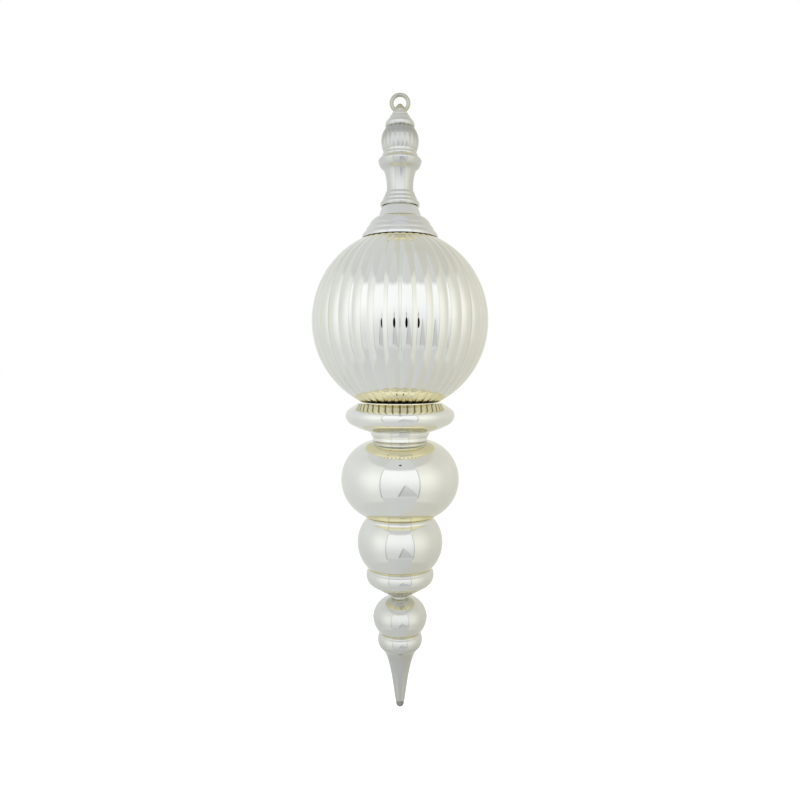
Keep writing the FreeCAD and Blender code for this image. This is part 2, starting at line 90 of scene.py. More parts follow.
class Silhouette:
    """Outline of a turned piece from its foot up, in millimetres: radius and height.
    An arc turns by about its fineness, in degrees, at each step."""

    def __init__(self, radius, height, fineness=2.5):
        self.points = [(radius, height)]
        self.fineness = fineness
        self.heading = None
        self.arcs = []

    def line(self, radius, height):
        start = Vector(self.points[-1])
        end = Vector((radius, height))
        self.heading = (end - start).normalized()
        parts = max(1, round((end - start).length / STRAIGHT_STEP))
        for step in range(1, parts + 1):
            self.points.append(tuple(start.lerp(end, step / parts)))

    def ledge(self, radius):
        """Level stretch to a radius."""
        self.line(radius, self.points[-1][1])

    def inset(self, depth):
        """Level stretch towards the axis."""
        self.ledge(self.points[-1][0] - depth)

    def bead(self, swell, radius, height):
        """Arc that stands out by swell from the straight line to its end."""
        start = Vector(self.points[-1])
        end = Vector((radius, height))
        chord = end - start
        out = Vector((chord.y, -chord.x)).normalized()
        half_turn = 2 * math.atan2(2 * swell, chord.length)
        if abs(half_turn) < FLAT_TURN:
            self.line(radius, height)
            return
        reach = chord.length / 2 / math.sin(half_turn)
        centre = (start + end) / 2 - out * reach * math.cos(half_turn)
        self.arcs.append((centre, abs(reach), len(self.points)))
        parts = max(ARC_STEPS, math.ceil(abs(math.degrees(half_turn)) * 2 / self.fineness))
        along = chord.normalized()
        for step in range(1, parts + 1):
            turn = half_turn * (2 * step / parts - 1)
            point = centre + reach * (out * math.cos(turn) + along * math.sin(turn))
            self.points.append(tuple(point))
        self.heading = along * math.cos(half_turn) - out * math.sin(half_turn)

    def arc(self, middle_radius, middle_height, radius, height):
        """Arc through a middle point."""
        start = Vector(self.points[-1])
        middle = Vector((middle_radius, middle_height))
        end = Vector((radius, height))
        a = (middle - start).length
        b = (end - middle).length
        c = (end - start).length
        cross = (middle - start).cross(end - start)
        circle = a * b * c / (2 * abs(cross))
        obtuse = (start - middle).dot(end - middle) > 0
        rise = math.sqrt(max(circle * circle - c * c / 4, 0))
        swell = circle + rise if obtuse else circle - rise
        self.bead(math.copysign(swell, cross), radius, height)

    def bulge(self, middle_radius, radius, height):
        """Arc that has its middle radius half way up."""
        self.arc(middle_radius, (self.points[-1][1] + height) / 2, radius, height)

    def flow(self, radius, height):
        """Arc that leaves the last stretch in that stretch's direction."""
        chord = Vector((radius, height)) - Vector(self.points[-1])
        along = chord.normalized()
        out = Vector((along.y, -along.x))
        away = self.heading.dot(out) / (1 + self.heading.dot(along))
        self.bead(away * chord.length / 2, radius, height)

    def cove(self, reach):
        """Hollow arc of that radius in the crease between the last two arcs."""
        low, low_reach, _ = self.arcs[-2]
        high, high_reach, joint = self.arcs[-1]
        gap = (high - low).length
        along = (high - low) / gap
        from_low = low_reach + reach
        from_high = high_reach + reach
        share = (gap ** 2 + from_low ** 2 - from_high ** 2) / (2 * gap)
        aside = math.sqrt(from_low ** 2 - share ** 2)
        centre = low + along * share + Vector((along.y, -along.x)) * aside
        turns = [math.atan2(middle.y - centre.y, middle.x - centre.x) % (2 * math.pi)
                 for middle in (low, high)]
        swing = abs(math.degrees(turns[1] - turns[0]))
        parts = max(COVE_STEPS, math.ceil(swing / self.fineness))
        hollow = []
        for step in range(parts + 1):
            turn = turns[0] + (turns[1] - turns[0]) * step / parts
            hollow.append((centre.x + reach * math.cos(turn),
                           centre.y + reach * math.sin(turn)))
        before = [point for point in self.points[:joint] if point[1] < hollow[0][1]]
        after = [point for point in self.points[joint:] if point[1] > hollow[-1][1]]
        self.points = before + hollow + after
        self.arcs[-1] = (high, high_reach, len(before) + len(hollow))

    def eased(self, corner, ease):
        """Outline with one corner rounded, from that far below it to as far above."""
        middle = Vector(corner)
        near = [(Vector(point) - middle).length < ease for point in self.points]
        first = near.index(True)
        last = len(near) - near[::-1].index(True)
        start = Vector(self.points[first - 1])
        end = Vector(self.points[last])
        curve = []
        for step in range(1, EASE_STEPS):
            share = step / EASE_STEPS
            towards = middle.lerp(end, share)
            curve.append(tuple(start.lerp(middle, share).lerp(towards, share)))
        return self.points[:first] + curve + self.points[last:]


def round_ring(segments):
    """Circle of radius one."""
    turns = [2 * math.pi * step / segments for step in range(segments)]
    return [(math.cos(turn), math.sin(turn)) for turn in turns]


def ringed_piece(name, stations):
    """Skin through rings: each station is a radius, a height and a ring of radius one."""
    count = len(stations[0][2])
    points = []
    for radius, height, ring in stations:
        z = (height - EYE_HEIGHT) / 1000
        points += [(x * radius / 1000, y * radius / 1000, z) for x, y in ring]
    faces = []
    for level in range(len(stations) - 1):
        low = level * count
        for step in range(count):
            beside = (step + 1) % count
            faces.append((low + step, low + beside, low + count + beside, low + count + step))
    mesh = bpy.data.meshes.new(name)
    mesh.from_pydata(points, [], faces)
    mesh.shade_smooth()
    piece = bpy.data.objects.new(name, mesh)
    bpy.context.scene.collection.objects.link(piece)
    return piece


drop_line = Silhouette(SPIKE_FOOT_RADIUS, NUB_TOP)
drop_line.line(*SPIKE[0])
drop_line.flow(*SPIKE[1])
drop_line.flow(*SPIKE[2])
drop_line.arc(*BEAD)
drop_line.flow(*BEAD_SHOULDER)
drop_line.arc(*BUD_LOW)
drop_line.cove(BEAD_COVE)
drop_line.arc(*BUD_HIGH)
drop_line.bead(*SAUCER_FLANK)
drop_line.cove(WAIST_COVE)
drop_line.arc(*SAUCER)
drop_line.flow(*SAUCER_SHOULDER)
drop_line.bulge(*GLOBE)
drop_line.cove(SAUCER_COVE)
drop_line.bulge(*ONION)
drop_line.cove(GLOBE_COVE)
drop_line.line(NECK_RING[0], ONION[2])
drop_line.line(*NECK_RING[1:])
drop_line.ledge(NECK_BAND_FOOT_RADIUS)
drop_line.bulge(*NECK_BAND)
drop_line.ledge(DISC_FOOT_RADIUS)
drop_line.bead(DISC_FLANK_SWELL, *DISC[0])
for place in DISC[1:]:
    drop_line.flow(*place)
drop_line.ledge(SEAT_RADIUS)
drop_line.line(SEAT_RADIUS, BALL_SEAT)
drop_ring = round_ring(DROP_SEGMENTS)
drop_points = drop_line.eased(SPIKE[2], SPIKE_TOP_EASE)
drop = ringed_piece("blown_drop", [(r, z, drop_ring) for r, z in drop_points])
drop.data.set_sharp_from_angle(angle=math.radians(DROP_SHARP_TURN))


def silvering():
    """Metallised coat: slight changes of tone, faint haze, and the waves of a thin wall."""
    group = bpy.data.node_groups.new("silvering", "ShaderNodeTree")
    face = group.interface
    tone = face.new_socket("Tone", in_out="INPUT", socket_type="NodeSocketColor")
    tone.default_value = (0.62, 0.62, 0.58, 1)
    haze = face.new_socket("Haze", in_out="INPUT", socket_type="NodeSocketFloat")
    haze.default_value = 0.05
    waves = face.new_socket("Wave Scale", in_out="INPUT", socket_type="NodeSocketFloat")
    waves.default_value = 22.0
    face.new_socket("Tint", in_out="OUTPUT", socket_type="NodeSocketColor")
    face.new_socket("Haze", in_out="OUTPUT", socket_type="NodeSocketFloat")
    face.new_socket("Waves", in_out="OUTPUT", socket_type="NodeSocketFloat")
    nodes = group.nodes
    links = group.links
    given = nodes.new("NodeGroupInput")
    result = nodes.new("NodeGroupOutput")
    place = nodes.new("ShaderNodeTexCoord")
    clouds = nodes.new("ShaderNodeTexNoise")
    clouds.inputs["Scale"].default_value = 38.0
    clouds.inputs["Detail"].default_value = 3.0
    shade = nodes.new("ShaderNodeMapRange")
    shade.inputs["From Min"].default_value = 0.3
    shade.inputs["From Max"].default_value = 0.7
    shade.inputs["To Min"].default_value = 0.975
    shade.inputs["To Max"].default_value = 1.02
    tinted = nodes.new("ShaderNodeVectorMath")
    tinted.operation = "SCALE"
    grains = nodes.new("ShaderNodeTexNoise")
    grains.inputs["Scale"].default_value = 900.0
    grains.inputs["Detail"].default_value = 2.0
    dull = nodes.new("ShaderNodeMapRange")
    dull.inputs["From Min"].default_value = 0.35
    dull.inputs["From Max"].default_value = 0.75
    dull.inputs["To Min"].default_value = 0.8
    dull.inputs["To Max"].default_value = 1.5
    hazed = nodes.new("ShaderNodeMath")
    hazed.operation = "MULTIPLY"
    swells = nodes.new("ShaderNodeTexNoise")
    swells.inputs["Detail"].default_value = 1.0
    for texture in (clouds, grains, swells):
        links.new(place.outputs["Object"], texture.inputs["Vector"])
    links.new(given.outputs["Wave Scale"], swells.inputs["Scale"])
    links.new(clouds.outputs["Fac"], shade.inputs["Value"])
    links.new(given.outputs["Tone"], tinted.inputs[0])
    links.new(shade.outputs["Result"], tinted.inputs["Scale"])
    links.new(tinted.outputs["Vector"], result.inputs["Tint"])
    links.new(grains.outputs["Fac"], dull.inputs["Value"])
    links.new(dull.outputs["Result"], hazed.inputs[0])
    links.new(given.outputs["Haze"], hazed.inputs[1])
    links.new(hazed.outputs["Value"], result.inputs["Haze"])
    links.new(swells.outputs["Fac"], result.inputs["Waves"])
    return group


SILVERING = silvering()


def silver_finish(name, tone, haze, wave_scale, wave_depth):
    """Bright silver whose colour is painted pale gold where one part is seen mirrored in
    another, to a deeper gold where that part is mirrored in a third, and to slate further in: a
    painted reflection."""
    finish = bpy.data.materials.new(name)
    finish.use_nodes = True
    nodes = finish.node_tree.nodes
    links = finish.node_tree.links
    shader = nodes["Principled BSDF"]
    shader.inputs["Metallic"].default_value = 1.0
    shader.inputs["Specular Tint"].default_value = (0.9, 0.9, 0.86, 1)
    coat = nodes.new("ShaderNodeGroup")
    coat.node_tree = SILVERING
    coat.inputs["Tone"].default_value = tone
    coat.inputs["Haze"].default_value = haze
    coat.inputs["Wave Scale"].default_value = wave_scale
    path = nodes.new("ShaderNodeLightPath")
    glow = None
    # Painted reflection: the gold and slate tones stand in for parts mirroring each other.
    for mirrors, shade in PAINTED_REFLECTION_TONES:
        deep = nodes.new("ShaderNodeMath")
        deep.operation = "GREATER_THAN"
        deep.inputs[1].default_value = mirrors
        deeper = nodes.new("ShaderNodeMix")
        deeper.data_type = "RGBA"
        deeper.inputs["A"].default_value = PALE_GOLD
        deeper.inputs["B"].default_value = shade
        links.new(path.outputs["Glossy Depth"], deep.inputs[0])
        links.new(deep.outputs["Value"], deeper.inputs["Factor"])
        if glow:
            links.new(glow.outputs["Result"], deeper.inputs["A"])
        glow = deeper
    mirrored = nodes.new("ShaderNodeMix")
    mirrored.name = "mirrored"
    mirrored.data_type = "RGBA"
    bump = nodes.new("ShaderNodeBump")
    bump.inputs["Strength"].default_value = 0.6
    bump.inputs["Distance"].default_value = wave_depth
    links.new(coat.outputs["Tint"], mirrored.inputs["A"])
    links.new(glow.outputs["Result"], mirrored.inputs["B"])
    links.new(path.outputs["Is Glossy Ray"], mirrored.inputs["Factor"])
    links.new(mirrored.outputs["Result"], shader.inputs["Base Color"])
    links.new(coat.outputs["Haze"], shader.inputs["Roughness"])
    links.new(coat.outputs["Waves"], bump.inputs["Height"])
    links.new(bump.outputs["Normal"], shader.inputs["Normal"])
    return finish


def spot_on(finish):
    """Place of a point of the piece that wears the finish, in metres: X, Y and Z."""
    place = finish.node_tree.nodes.new("ShaderNodeTexCoord")
    spot = finish.node_tree.nodes.new("ShaderNodeSeparateXYZ")
    finish.node_tree.links.new(place.outputs["Object"], spot.inputs["Vector"])
    return spot.outputs


def height_ramp(finish, spot, start, end, bottom=0.0, top=1.0, ease="SMOOTHSTEP"):
    """Value that goes from bottom to top between two heights above the tip."""
    ramp = finish.node_tree.nodes.new("ShaderNodeMapRange")
    ramp.interpolation_type = ease
    ramp.inputs["From Min"].default_value = (start - EYE_HEIGHT) / 1000
    ramp.inputs["From Max"].default_value = (end - EYE_HEIGHT) / 1000
    ramp.inputs["To Min"].default_value = bottom
    ramp.inputs["To Max"].default_value = top
    finish.node_tree.links.new(spot["Z"], ramp.inputs["Value"])
    return ramp.outputs["Result"]


def scale_colour(finish, socket, share):
    """Scale the colour that goes into a socket by another node's value."""
    scaled = finish.node_tree.nodes.new("ShaderNodeVectorMath")
    scaled.operation = "SCALE"
    links = finish.node_tree.links
    links.new(socket.links[0].from_socket, scaled.inputs[0])
    links.new(share, scaled.inputs["Scale"])
    links.new(scaled.outputs["Vector"], socket)


def pale_between(finish, zones):
    """Turn the painted reflection gold of a finish to pale silver between heights above the
    tip.
    """
    nodes = finish.node_tree.nodes
    links = finish.node_tree.links
    spot = spot_on(finish)
    gold = nodes["mirrored"].inputs["B"]
    for low, high in zones:
        there = nodes.new("ShaderNodeMath")
        there.operation = "MULTIPLY"
        links.new(height_ramp(finish, spot, low - ZONE_FADE, low), there.inputs[0])
        links.new(height_ramp(finish, spot, high + ZONE_FADE, high), there.inputs[1])
        paler = nodes.new("ShaderNodeMix")
        paler.data_type = "RGBA"
        paler.inputs["B"].default_value = PALE_SILVER
        links.new(gold.links[0].from_socket, paler.inputs["A"])
        links.new(there.outputs["Value"], paler.inputs["Factor"])
        links.new(paler.outputs["Result"], gold)


def paint_light_and_shade_between(finish, ramps):
    """Scale the tone of a finish between pairs of heights above the tip, as painted shade
    and painted light where the surface looks darker or lighter: low, high, and the scale at
    each."""
    spot = spot_on(finish)
    base = finish.node_tree.nodes["Principled BSDF"].inputs["Base Color"]
    for low, high, bottom, top in ramps:
        scale_colour(finish, base, height_ramp(finish, spot, low, high, bottom, top))


SILVER_TONE = (0.62, 0.625, 0.57, 1)
# Painted reflection colours: pale gold, pale silver, deep gold and slate show only where the
# silver is seen mirrored.
PALE_GOLD = (0.90, 0.835, 0.57, 1)
PALE_SILVER = (0.82, 0.815, 0.755, 1)
DEEP_GOLD = (0.70, 0.61, 0.38, 1)
SLATE = (0.42, 0.44, 0.50, 1)
PAINTED_REFLECTION_TONES = [(1.5, DEEP_GOLD), (2.5, SLATE)]
PALE_ZONES = [(58.0, 74.0), (124.0, 134.0), (304.0, 318.0)]
ZONE_FADE = 3.0
# Painted shade: the drop darkens from the onion's top down to the bead, and more from the bead
# onto the spike.
BEAD_PAINTED_SHADE = (SPIKE[2][1], BEAD[3], 0.80, 1.0)
DROP_PAINTED_SHADE = (BEAD[3], ONION[2], 0.85, 1.0)
blown_silver = silver_finish("blown_silver", SILVER_TONE, haze=0.032,
                             wave_scale=20.0, wave_depth=0.00025)
paint_light_and_shade_between(blown_silver, [BEAD_PAINTED_SHADE, DROP_PAINTED_SHADE])
pale_between(blown_silver, PALE_ZONES)
drop.data.materials.append(blown_silver)
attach(drop, "root")
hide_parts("drop")

# The nub at the tip: a small moulded plug of dark grey plastic, with a domed end,
# pressed into the blown spike to close it. Its skin is satin and a little scuffed.
NUB_RADIUS = 4.5
NUB_TIP_RADIUS = 0.02
NUB_DOME_TURN = 45.0
NUB_EDGE_DROP = 0.5
NUB_EDGE_INSET = 0.3
NUB_STEM_RADIUS = 3.0
NUB_SEGMENTS = 64
NUB_SHARP_TURN = 40.0
nub_line = Silhouette(NUB_TIP_RADIUS, 0.0, fineness=6)
nub_dome = NUB_RADIUS * (1 - math.cos(math.radians(NUB_DOME_TURN)))
nub_line.bead(nub_dome, NUB_RADIUS, NUB_RADIUS)
nub_line.line(NUB_RADIUS, NUB_TOP - NUB_EDGE_DROP)
nub_line.flow(NUB_RADIUS - NUB_EDGE_INSET, NUB_TOP)
nub_line.ledge(NUB_STEM_RADIUS)
nub_ring = round_ring(NUB_SEGMENTS)
nub = ringed_piece("tip_nub", [(r, z, nub_ring) for r, z in nub_line.points])
nub.data.set_sharp_from_angle(angle=math.radians(NUB_SHARP_TURN))


def satin_plastic(name, colour, scuffed):
    """Moulded plastic with a fine grain and lighter scuffs."""
    finish = bpy.data.materials.new(name)
    finish.use_nodes = True
    nodes = finish.node_tree.nodes
    links = finish.node_tree.links
    shader = nodes["Principled BSDF"]
    place = nodes.new("ShaderNodeTexCoord")
    scuffs = nodes.new("ShaderNodeTexNoise")
    scuffs.inputs["Scale"].default_value = 420.0
    scuffs.inputs["Detail"].default_value = 4.0
    tones = nodes.new("ShaderNodeValToRGB")
    tones.color_ramp.elements[0].position = 0.4
    tones.color_ramp.elements[0].color = colour
    tones.color_ramp.elements[1].position = 0.75
    tones.color_ramp.elements[1].color = scuffed
    dull = nodes.new("ShaderNodeMapRange")
    dull.inputs["To Min"].default_value = 0.28
    dull.inputs["To Max"].default_value = 0.5
    bump = nodes.new("ShaderNodeBump")
    bump.inputs["Strength"].default_value = 0.3
    bump.inputs["Distance"].default_value = 0.0001
    links.new(place.outputs["Object"], scuffs.inputs["Vector"])
    links.new(scuffs.outputs["Fac"], tones.inputs["Fac"])
    links.new(scuffs.outputs["Fac"], dull.inputs["Value"])
    links.new(scuffs.outputs["Fac"], bump.inputs["Height"])
    links.new(tones.outputs["Color"], shader.inputs["Base Color"])
    links.new(dull.outputs["Result"], shader.inputs["Roughness"])
    links.new(bump.outputs["Normal"], shader.inputs["Normal"])
    return finish


NUB_GREY = (0.19, 0.19, 0.17, 1)
NUB_SCUFF = (0.285, 0.285, 0.2465, 1)
nub.data.materials.append(satin_plastic("grey_nub_plastic", NUB_GREY, NUB_SCUFF))
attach(nub, "root")
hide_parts("tip_plug")

# The ball: thirty-six upright lobes that meet in narrow creases. It is blown into a
# ribbed mould, metallised, and seated on the drop's spigot below and the skirt above.
# Near its foot the gold painted where it is seen mirrored is darkened in the creases, as
# painted shade.
BALL_RADIUS = 101.6
BALL_HALF_HEIGHT = 104.5
BALL_RIBS = 36
BALL_RIB_TURN = 28.0
BALL_FOOT_RADIUS = 44.2
BALL_EDGE_RADIUS = 45.4
BALL_CROWN_RADIUS = 33.6
BALL_MOUTH_RADIUS = 36.2
BALL_TOP_BORE_RADIUS = 22.1
BALL_LEVELS = 170
CREASE_SHADE = 0.25
CREASE_NEAR = 0.03
CREASE_FAR = 0.22
CREASE_FADE = (22.0, 34.0)


def lobed_ring(count, turn, steps, valley):
    """Ring of rounded lobes of crest radius one. The skin eases round within valley
    degrees of each crease."""
    half = math.pi / count
    lean = math.radians(turn)
    crease = 1 / (math.cos(half) + math.sin(half) * math.tan(lean / 2))
    reach = crease * math.sin(half) / math.sin(lean)
    centre = crease * math.cos(half) - reach * math.cos(lean)
    edge = lean - math.radians(valley)
    leans = [-lean] + [edge * (2 * step / steps - 1) for step in range(steps + 1)]
    ring = []
    for lobe in range(count):
        towards = (lobe + 0.5) * 2 * half
        for beta in leans:
            x = centre + reach * math.cos(beta)
            y = reach * math.sin(beta)
            ring.append((x * math.cos(towards) - y * math.sin(towards),
                         x * math.sin(towards) + y * math.cos(towards)))
    return ring


def rounded_like(ring):
    """Circle of radius one with its points at the same turns as another ring's."""
    turns = [math.atan2(y, x) for x, y in ring]
    return [(math.cos(turn), math.sin(turn)) for turn in turns]


ball_ring = lobed_ring(BALL_RIBS, BALL_RIB_TURN, steps=10, valley=2.6)
foot_turn = -math.acos(BALL_FOOT_RADIUS / BALL_RADIUS)
edge_turn = -math.acos(BALL_EDGE_RADIUS / BALL_RADIUS)
crown_turn = math.acos(BALL_CROWN_RADIUS / BALL_RADIUS)
ball_middle = BALL_SEAT - BALL_HALF_HEIGHT * math.sin(foot_turn)
ball_rings = []
for level in range(BALL_LEVELS + 1):
    turn = edge_turn + (crown_turn - edge_turn) * level / BALL_LEVELS
    ball_rings.append((BALL_RADIUS * math.cos(turn),
                       ball_middle + BALL_HALF_HEIGHT * math.sin(turn), ball_ring))
skirt_seat = ball_rings[-1][1]
mouth_ring = rounded_like(ball_ring)
ball_rings.insert(0, (BALL_MOUTH_RADIUS, ball_rings[0][1], mouth_ring))
ball_rings.append((BALL_TOP_BORE_RADIUS, skirt_seat, mouth_ring))
ball = ringed_piece("ribbed_ball", ball_rings)
rib_silver = silver_finish("rib_silver", SILVER_TONE, haze=0.02,
                           wave_scale=34.0, wave_depth=0.0003)
nodes = rib_silver.node_tree.nodes
links = rib_silver.node_tree.links
spot = spot_on(rib_silver)
# Painted shade: the mirrored gold darkens near each crease, fading out up the ball from its
# foot.
around = nodes.new("ShaderNodeMath")
around.operation = "ARCTAN2"
links.new(spot["Y"], around.inputs[0])
links.new(spot["X"], around.inputs[1])
lobes = nodes.new("ShaderNodeMath")
lobes.operation = "MULTIPLY"
lobes.inputs[1].default_value = BALL_RIBS / (2 * math.pi)
links.new(around.outputs["Value"], lobes.inputs[0])
off_crease = nodes.new("ShaderNodeMath")
off_crease.operation = "PINGPONG"
off_crease.inputs[1].default_value = 0.5
links.new(lobes.outputs["Value"], off_crease.inputs[0])
hollow = nodes.new("ShaderNodeMapRange")
hollow.interpolation_type = "SMOOTHSTEP"
hollow.inputs["From Min"].default_value = CREASE_NEAR
hollow.inputs["From Max"].default_value = CREASE_FAR
hollow.inputs["To Min"].default_value = CREASE_SHADE
links.new(off_crease.outputs["Value"], hollow.inputs["Value"])
upward = height_ramp(rib_silver, spot, BALL_SEAT + CREASE_FADE[0],
                     BALL_SEAT + CREASE_FADE[1], ease="LINEAR")
lighter = nodes.new("ShaderNodeMath")
lighter.operation = "MAXIMUM"
links.new(hollow.outputs["Result"], lighter.inputs[0])
links.new(upward, lighter.inputs[1])
scale_colour(rib_silver, nodes["mirrored"].inputs["B"], lighter.outputs["Value"])
ball.data.materials.append(rib_silver)
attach(ball, "root")
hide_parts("ball")

# The skirt: three stepped rings and a finely reeded cone, injection moulded and
# metallised. It hangs over the ball's crown with a thin shadow line under its rim. A
# step is a swell, the radius that it ends at, and its rise.
SKIRT_RIM_RADIUS = 44.3
SKIRT_RIM_GAP = 1.2
SKIRT_RIM_DEPTH = 3.0
SKIRT_STEPS = [(1.0, 41.2, 6.6), (0.5, 37.2, 6.7), (2.0, 25.4, 11.5)]
SKIRT_WALL = 1.6
SKIRT_LEDGE = 0.7
SKIRT_BORE_RADIUS = 13.0
SKIRT_SHARP_TURN = 45.0
RIM_DROOP = 0.5
CONE_FOOT_RADIUS = 25.0
CONE_TOP_RADIUS = 20.9
CONE_HEIGHT = 11.5
CONE_LEVELS = 8
CONE_REEDS = 48
CONE_REED_TURN = 30.0
reed_ring = lobed_ring(CONE_REEDS, CONE_REED_TURN, steps=5, valley=5.0)
plain_ring = rounded_like(reed_ring)
ball_under_rim = math.sqrt(1 - (SKIRT_RIM_RADIUS / BALL_RADIUS) ** 2) * BALL_HALF_HEIGHT
skirt_rim = ball_middle + ball_under_rim + SKIRT_RIM_GAP
skirt_line = Silhouette(SKIRT_RIM_RADIUS - SKIRT_WALL, skirt_rim + SKIRT_RIM_DEPTH)
skirt_line.line(SKIRT_RIM_RADIUS - SKIRT_WALL, skirt_rim - RIM_DROOP)
skirt_line.ledge(SKIRT_RIM_RADIUS)
cone_foot = skirt_rim
for step, (swell, radius, rise) in enumerate(SKIRT_STEPS):
    if step:
        skirt_line.inset(SKIRT_LEDGE)
    cone_foot += rise
    skirt_line.bead(swell, radius, cone_foot)
skirt_rings = [(r, z, plain_ring) for r, z in skirt_line.points]
for level in range(CONE_LEVELS + 1):
    share = level / CONE_LEVELS
    skirt_rings.append((CONE_FOOT_RADIUS + (CONE_TOP_RADIUS - CONE_FOOT_RADIUS) * share,
                        cone_foot + CONE_HEIGHT * share, reed_ring))
cap_seat = cone_foot + CONE_HEIGHT
skirt_rings.append((SKIRT_BORE_RADIUS, cap_seat, plain_ring))
skirt = ringed_piece("stepped_skirt", skirt_rings)
skirt.data.set_sharp_from_angle(angle=math.radians(SKIRT_SHARP_TURN))
MOULDED_TONE = (0.57, 0.575, 0.545, 1)
CONE_PALE = (-4.0, 22.0)
moulded_silver = silver_finish("moulded_silver", MOULDED_TONE, haze=0.03,
                               wave_scale=60.0, wave_depth=0.0002)
pale_between(moulded_silver, [(cone_foot + CONE_PALE[0], cone_foot + CONE_PALE[1])])
skirt.data.materials.append(moulded_silver)
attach(skirt, "root")
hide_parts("skirt")

# The cap: a lip, two steps, a waisted stem, a flared collar, a bead, a melon-shaped
# knop and a stepped crown, moulded as one hollow piece that drops over the skirt.
# Heights up to the melon's seat are counted from the lip, and those above from there.
CAP_BORE_RADIUS = 18.0
CAP_GAP = 0.6
CAP_LEDGE = 0.7
CAP_SHARP_TURN = 50.0
STEP_SWELL = 0.4
LIP_FOOT_RADIUS = 22.1
LIP_BULGE = (22.8, 2.0)
LIP_TOP = (20.9, 6.2)
CAP_STEPS = [(18.6, 11.4), (16.5, 16.4)]
STEM = (15.6, 17.9, 39.8)
FLARE = [(20.9, 44.0), (23.8, 47.8), (25.3, 52.4)]
COLLAR_TOP = (0.8, 20.2, 57.4)
CAP_BEAD = (20.6, 19.0, 61.4)
MELON_SEAT = 64.8
MELON_LOBES = 20
MELON_TURN = 36.0
MELON_FOOT_RADIUS = 19.6
MELON_RADIUS = 21.7
MELON_HEAD_RADIUS = 16.4
MELON_HEIGHT = 26.3
CROWN_LEDGE = 1.0
CROWN_BULGE = (17.0, 29.9)
CROWN_TOP = (14.0, 35.6)
CROWN_STEPS = [(10.9, 40.6), (8.2, 44.9)]
CROWN_BORE_RADIUS = 5.3
cap_ring = lobed_ring(MELON_LOBES, MELON_TURN, steps=10, valley=4.0)
cap_round = rounded_like(cap_ring)
lip_foot = cap_seat + CAP_GAP
melon_foot = lip_foot + MELON_SEAT
melon_head = melon_foot + MELON_HEIGHT
cap_line = Silhouette(CAP_BORE_RADIUS, cap_seat)
cap_line.line(CAP_BORE_RADIUS, lip_foot)
cap_line.ledge(LIP_FOOT_RADIUS)
cap_line.arc(LIP_BULGE[0], lip_foot + LIP_BULGE[1], LIP_TOP[0], lip_foot + LIP_TOP[1])
cap_line.inset(CAP_LEDGE)
for radius, rise in CAP_STEPS:
    cap_line.bead(STEP_SWELL, radius, lip_foot + rise)
    cap_line.inset(CAP_LEDGE)
cap_line.bulge(STEM[0], STEM[1], lip_foot + STEM[2])
for radius, rise in FLARE:
    cap_line.flow(radius, lip_foot + rise)
cap_line.bead(COLLAR_TOP[0], COLLAR_TOP[1], lip_foot + COLLAR_TOP[2])
cap_line.bulge(CAP_BEAD[0], CAP_BEAD[1] + CAP_LEDGE, lip_foot + CAP_BEAD[2])
cap_line.ledge(CAP_BEAD[1])
cap_line.line(CAP_BEAD[1], melon_foot)
melon_line = Silhouette(MELON_FOOT_RADIUS, melon_foot)
melon_line.bulge(MELON_RADIUS, MELON_HEAD_RADIUS, melon_head)
crown_line = Silhouette(MELON_HEAD_RADIUS, melon_head)
crown_line.arc(CROWN_BULGE[0], melon_foot + CROWN_BULGE[1],
               CROWN_TOP[0], melon_foot + CROWN_TOP[1])
for radius, rise in CROWN_STEPS:
    crown_line.inset(CROWN_LEDGE)
    crown_line.bead(STEP_SWELL, radius, melon_foot + rise)
crown_line.ledge(CROWN_BORE_RADIUS)
cap_rings = [(r, z, cap_round) for r, z in cap_line.points]
cap_rings += [(r, z, cap_ring) for r, z in melon_line.points]
cap_rings += [(r, z, cap_round) for r, z in crown_line.points]
cap = ringed_piece("melon_cap", cap_rings)
cap.data.set_sharp_from_angle(angle=math.radians(CAP_SHARP_TURN))
CAP_TONE = (0.53, 0.535, 0.495, 1)
CAP_PALE_HEIGHT = 17.0
# Painted shade darkens the melon towards its head, and painted light lifts the crown above it.
MELON_PAINTED_SHADE = (melon_foot + 2.0, melon_foot + 18.0, 0.95, 0.70)
CROWN_PAINTED_LIGHT = (melon_head, melon_head + 3.0, 1.0, 1.4)
cap_silver = silver_finish("cap_silver", CAP_TONE, haze=0.03,
                           wave_scale=60.0, wave_depth=0.0002)
pale_between(cap_silver, [(cap_seat, cap_seat + CAP_PALE_HEIGHT)])
paint_light_and_shade_between(cap_silver, [MELON_PAINTED_SHADE, CROWN_PAINTED_LIGHT])
cap.data.materials.append(cap_silver)
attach(cap, "root")
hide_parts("cap")

# The hanging eye: a round-section ring on a pointed boss, moulded in one and
# metallised with the rest. Its stem is glued into the crown of the cap.
EYE_OUTER_RADIUS = 12.05
EYE_SECTION = 4.6
EYE_STEM_RADIUS = 5.0
EYE_STEM_DEPTH = 2.0
FLANGE = [(7.7, 0.8), (7.4, 1.1)]
BOSS_FOOT_RADIUS = 6.9
BOSS_SHOULDER = (0.3, 6.0, 4.6)
BOSS_TIP = (2.2, 9.4)
BOSS_TIP_BORE = 0.05
BOSS_SEGMENTS = 96
BOSS_SHARP_TURN = 40.0
RING_STEPS = 160
SECTION_STEPS = 48
eye_seat = melon_foot + CROWN_STEPS[-1][1]
boss_line = Silhouette(EYE_STEM_RADIUS, eye_seat - EYE_STEM_DEPTH)
boss_line.line(EYE_STEM_RADIUS, eye_seat)
boss_line.ledge(FLANGE[0][0])
boss_line.line(FLANGE[0][0], eye_seat + FLANGE[0][1])
boss_line.flow(FLANGE[1][0], eye_seat + FLANGE[1][1])
boss_line.ledge(BOSS_FOOT_RADIUS)
boss_line.bead(BOSS_SHOULDER[0], BOSS_SHOULDER[1], eye_seat + BOSS_SHOULDER[2])
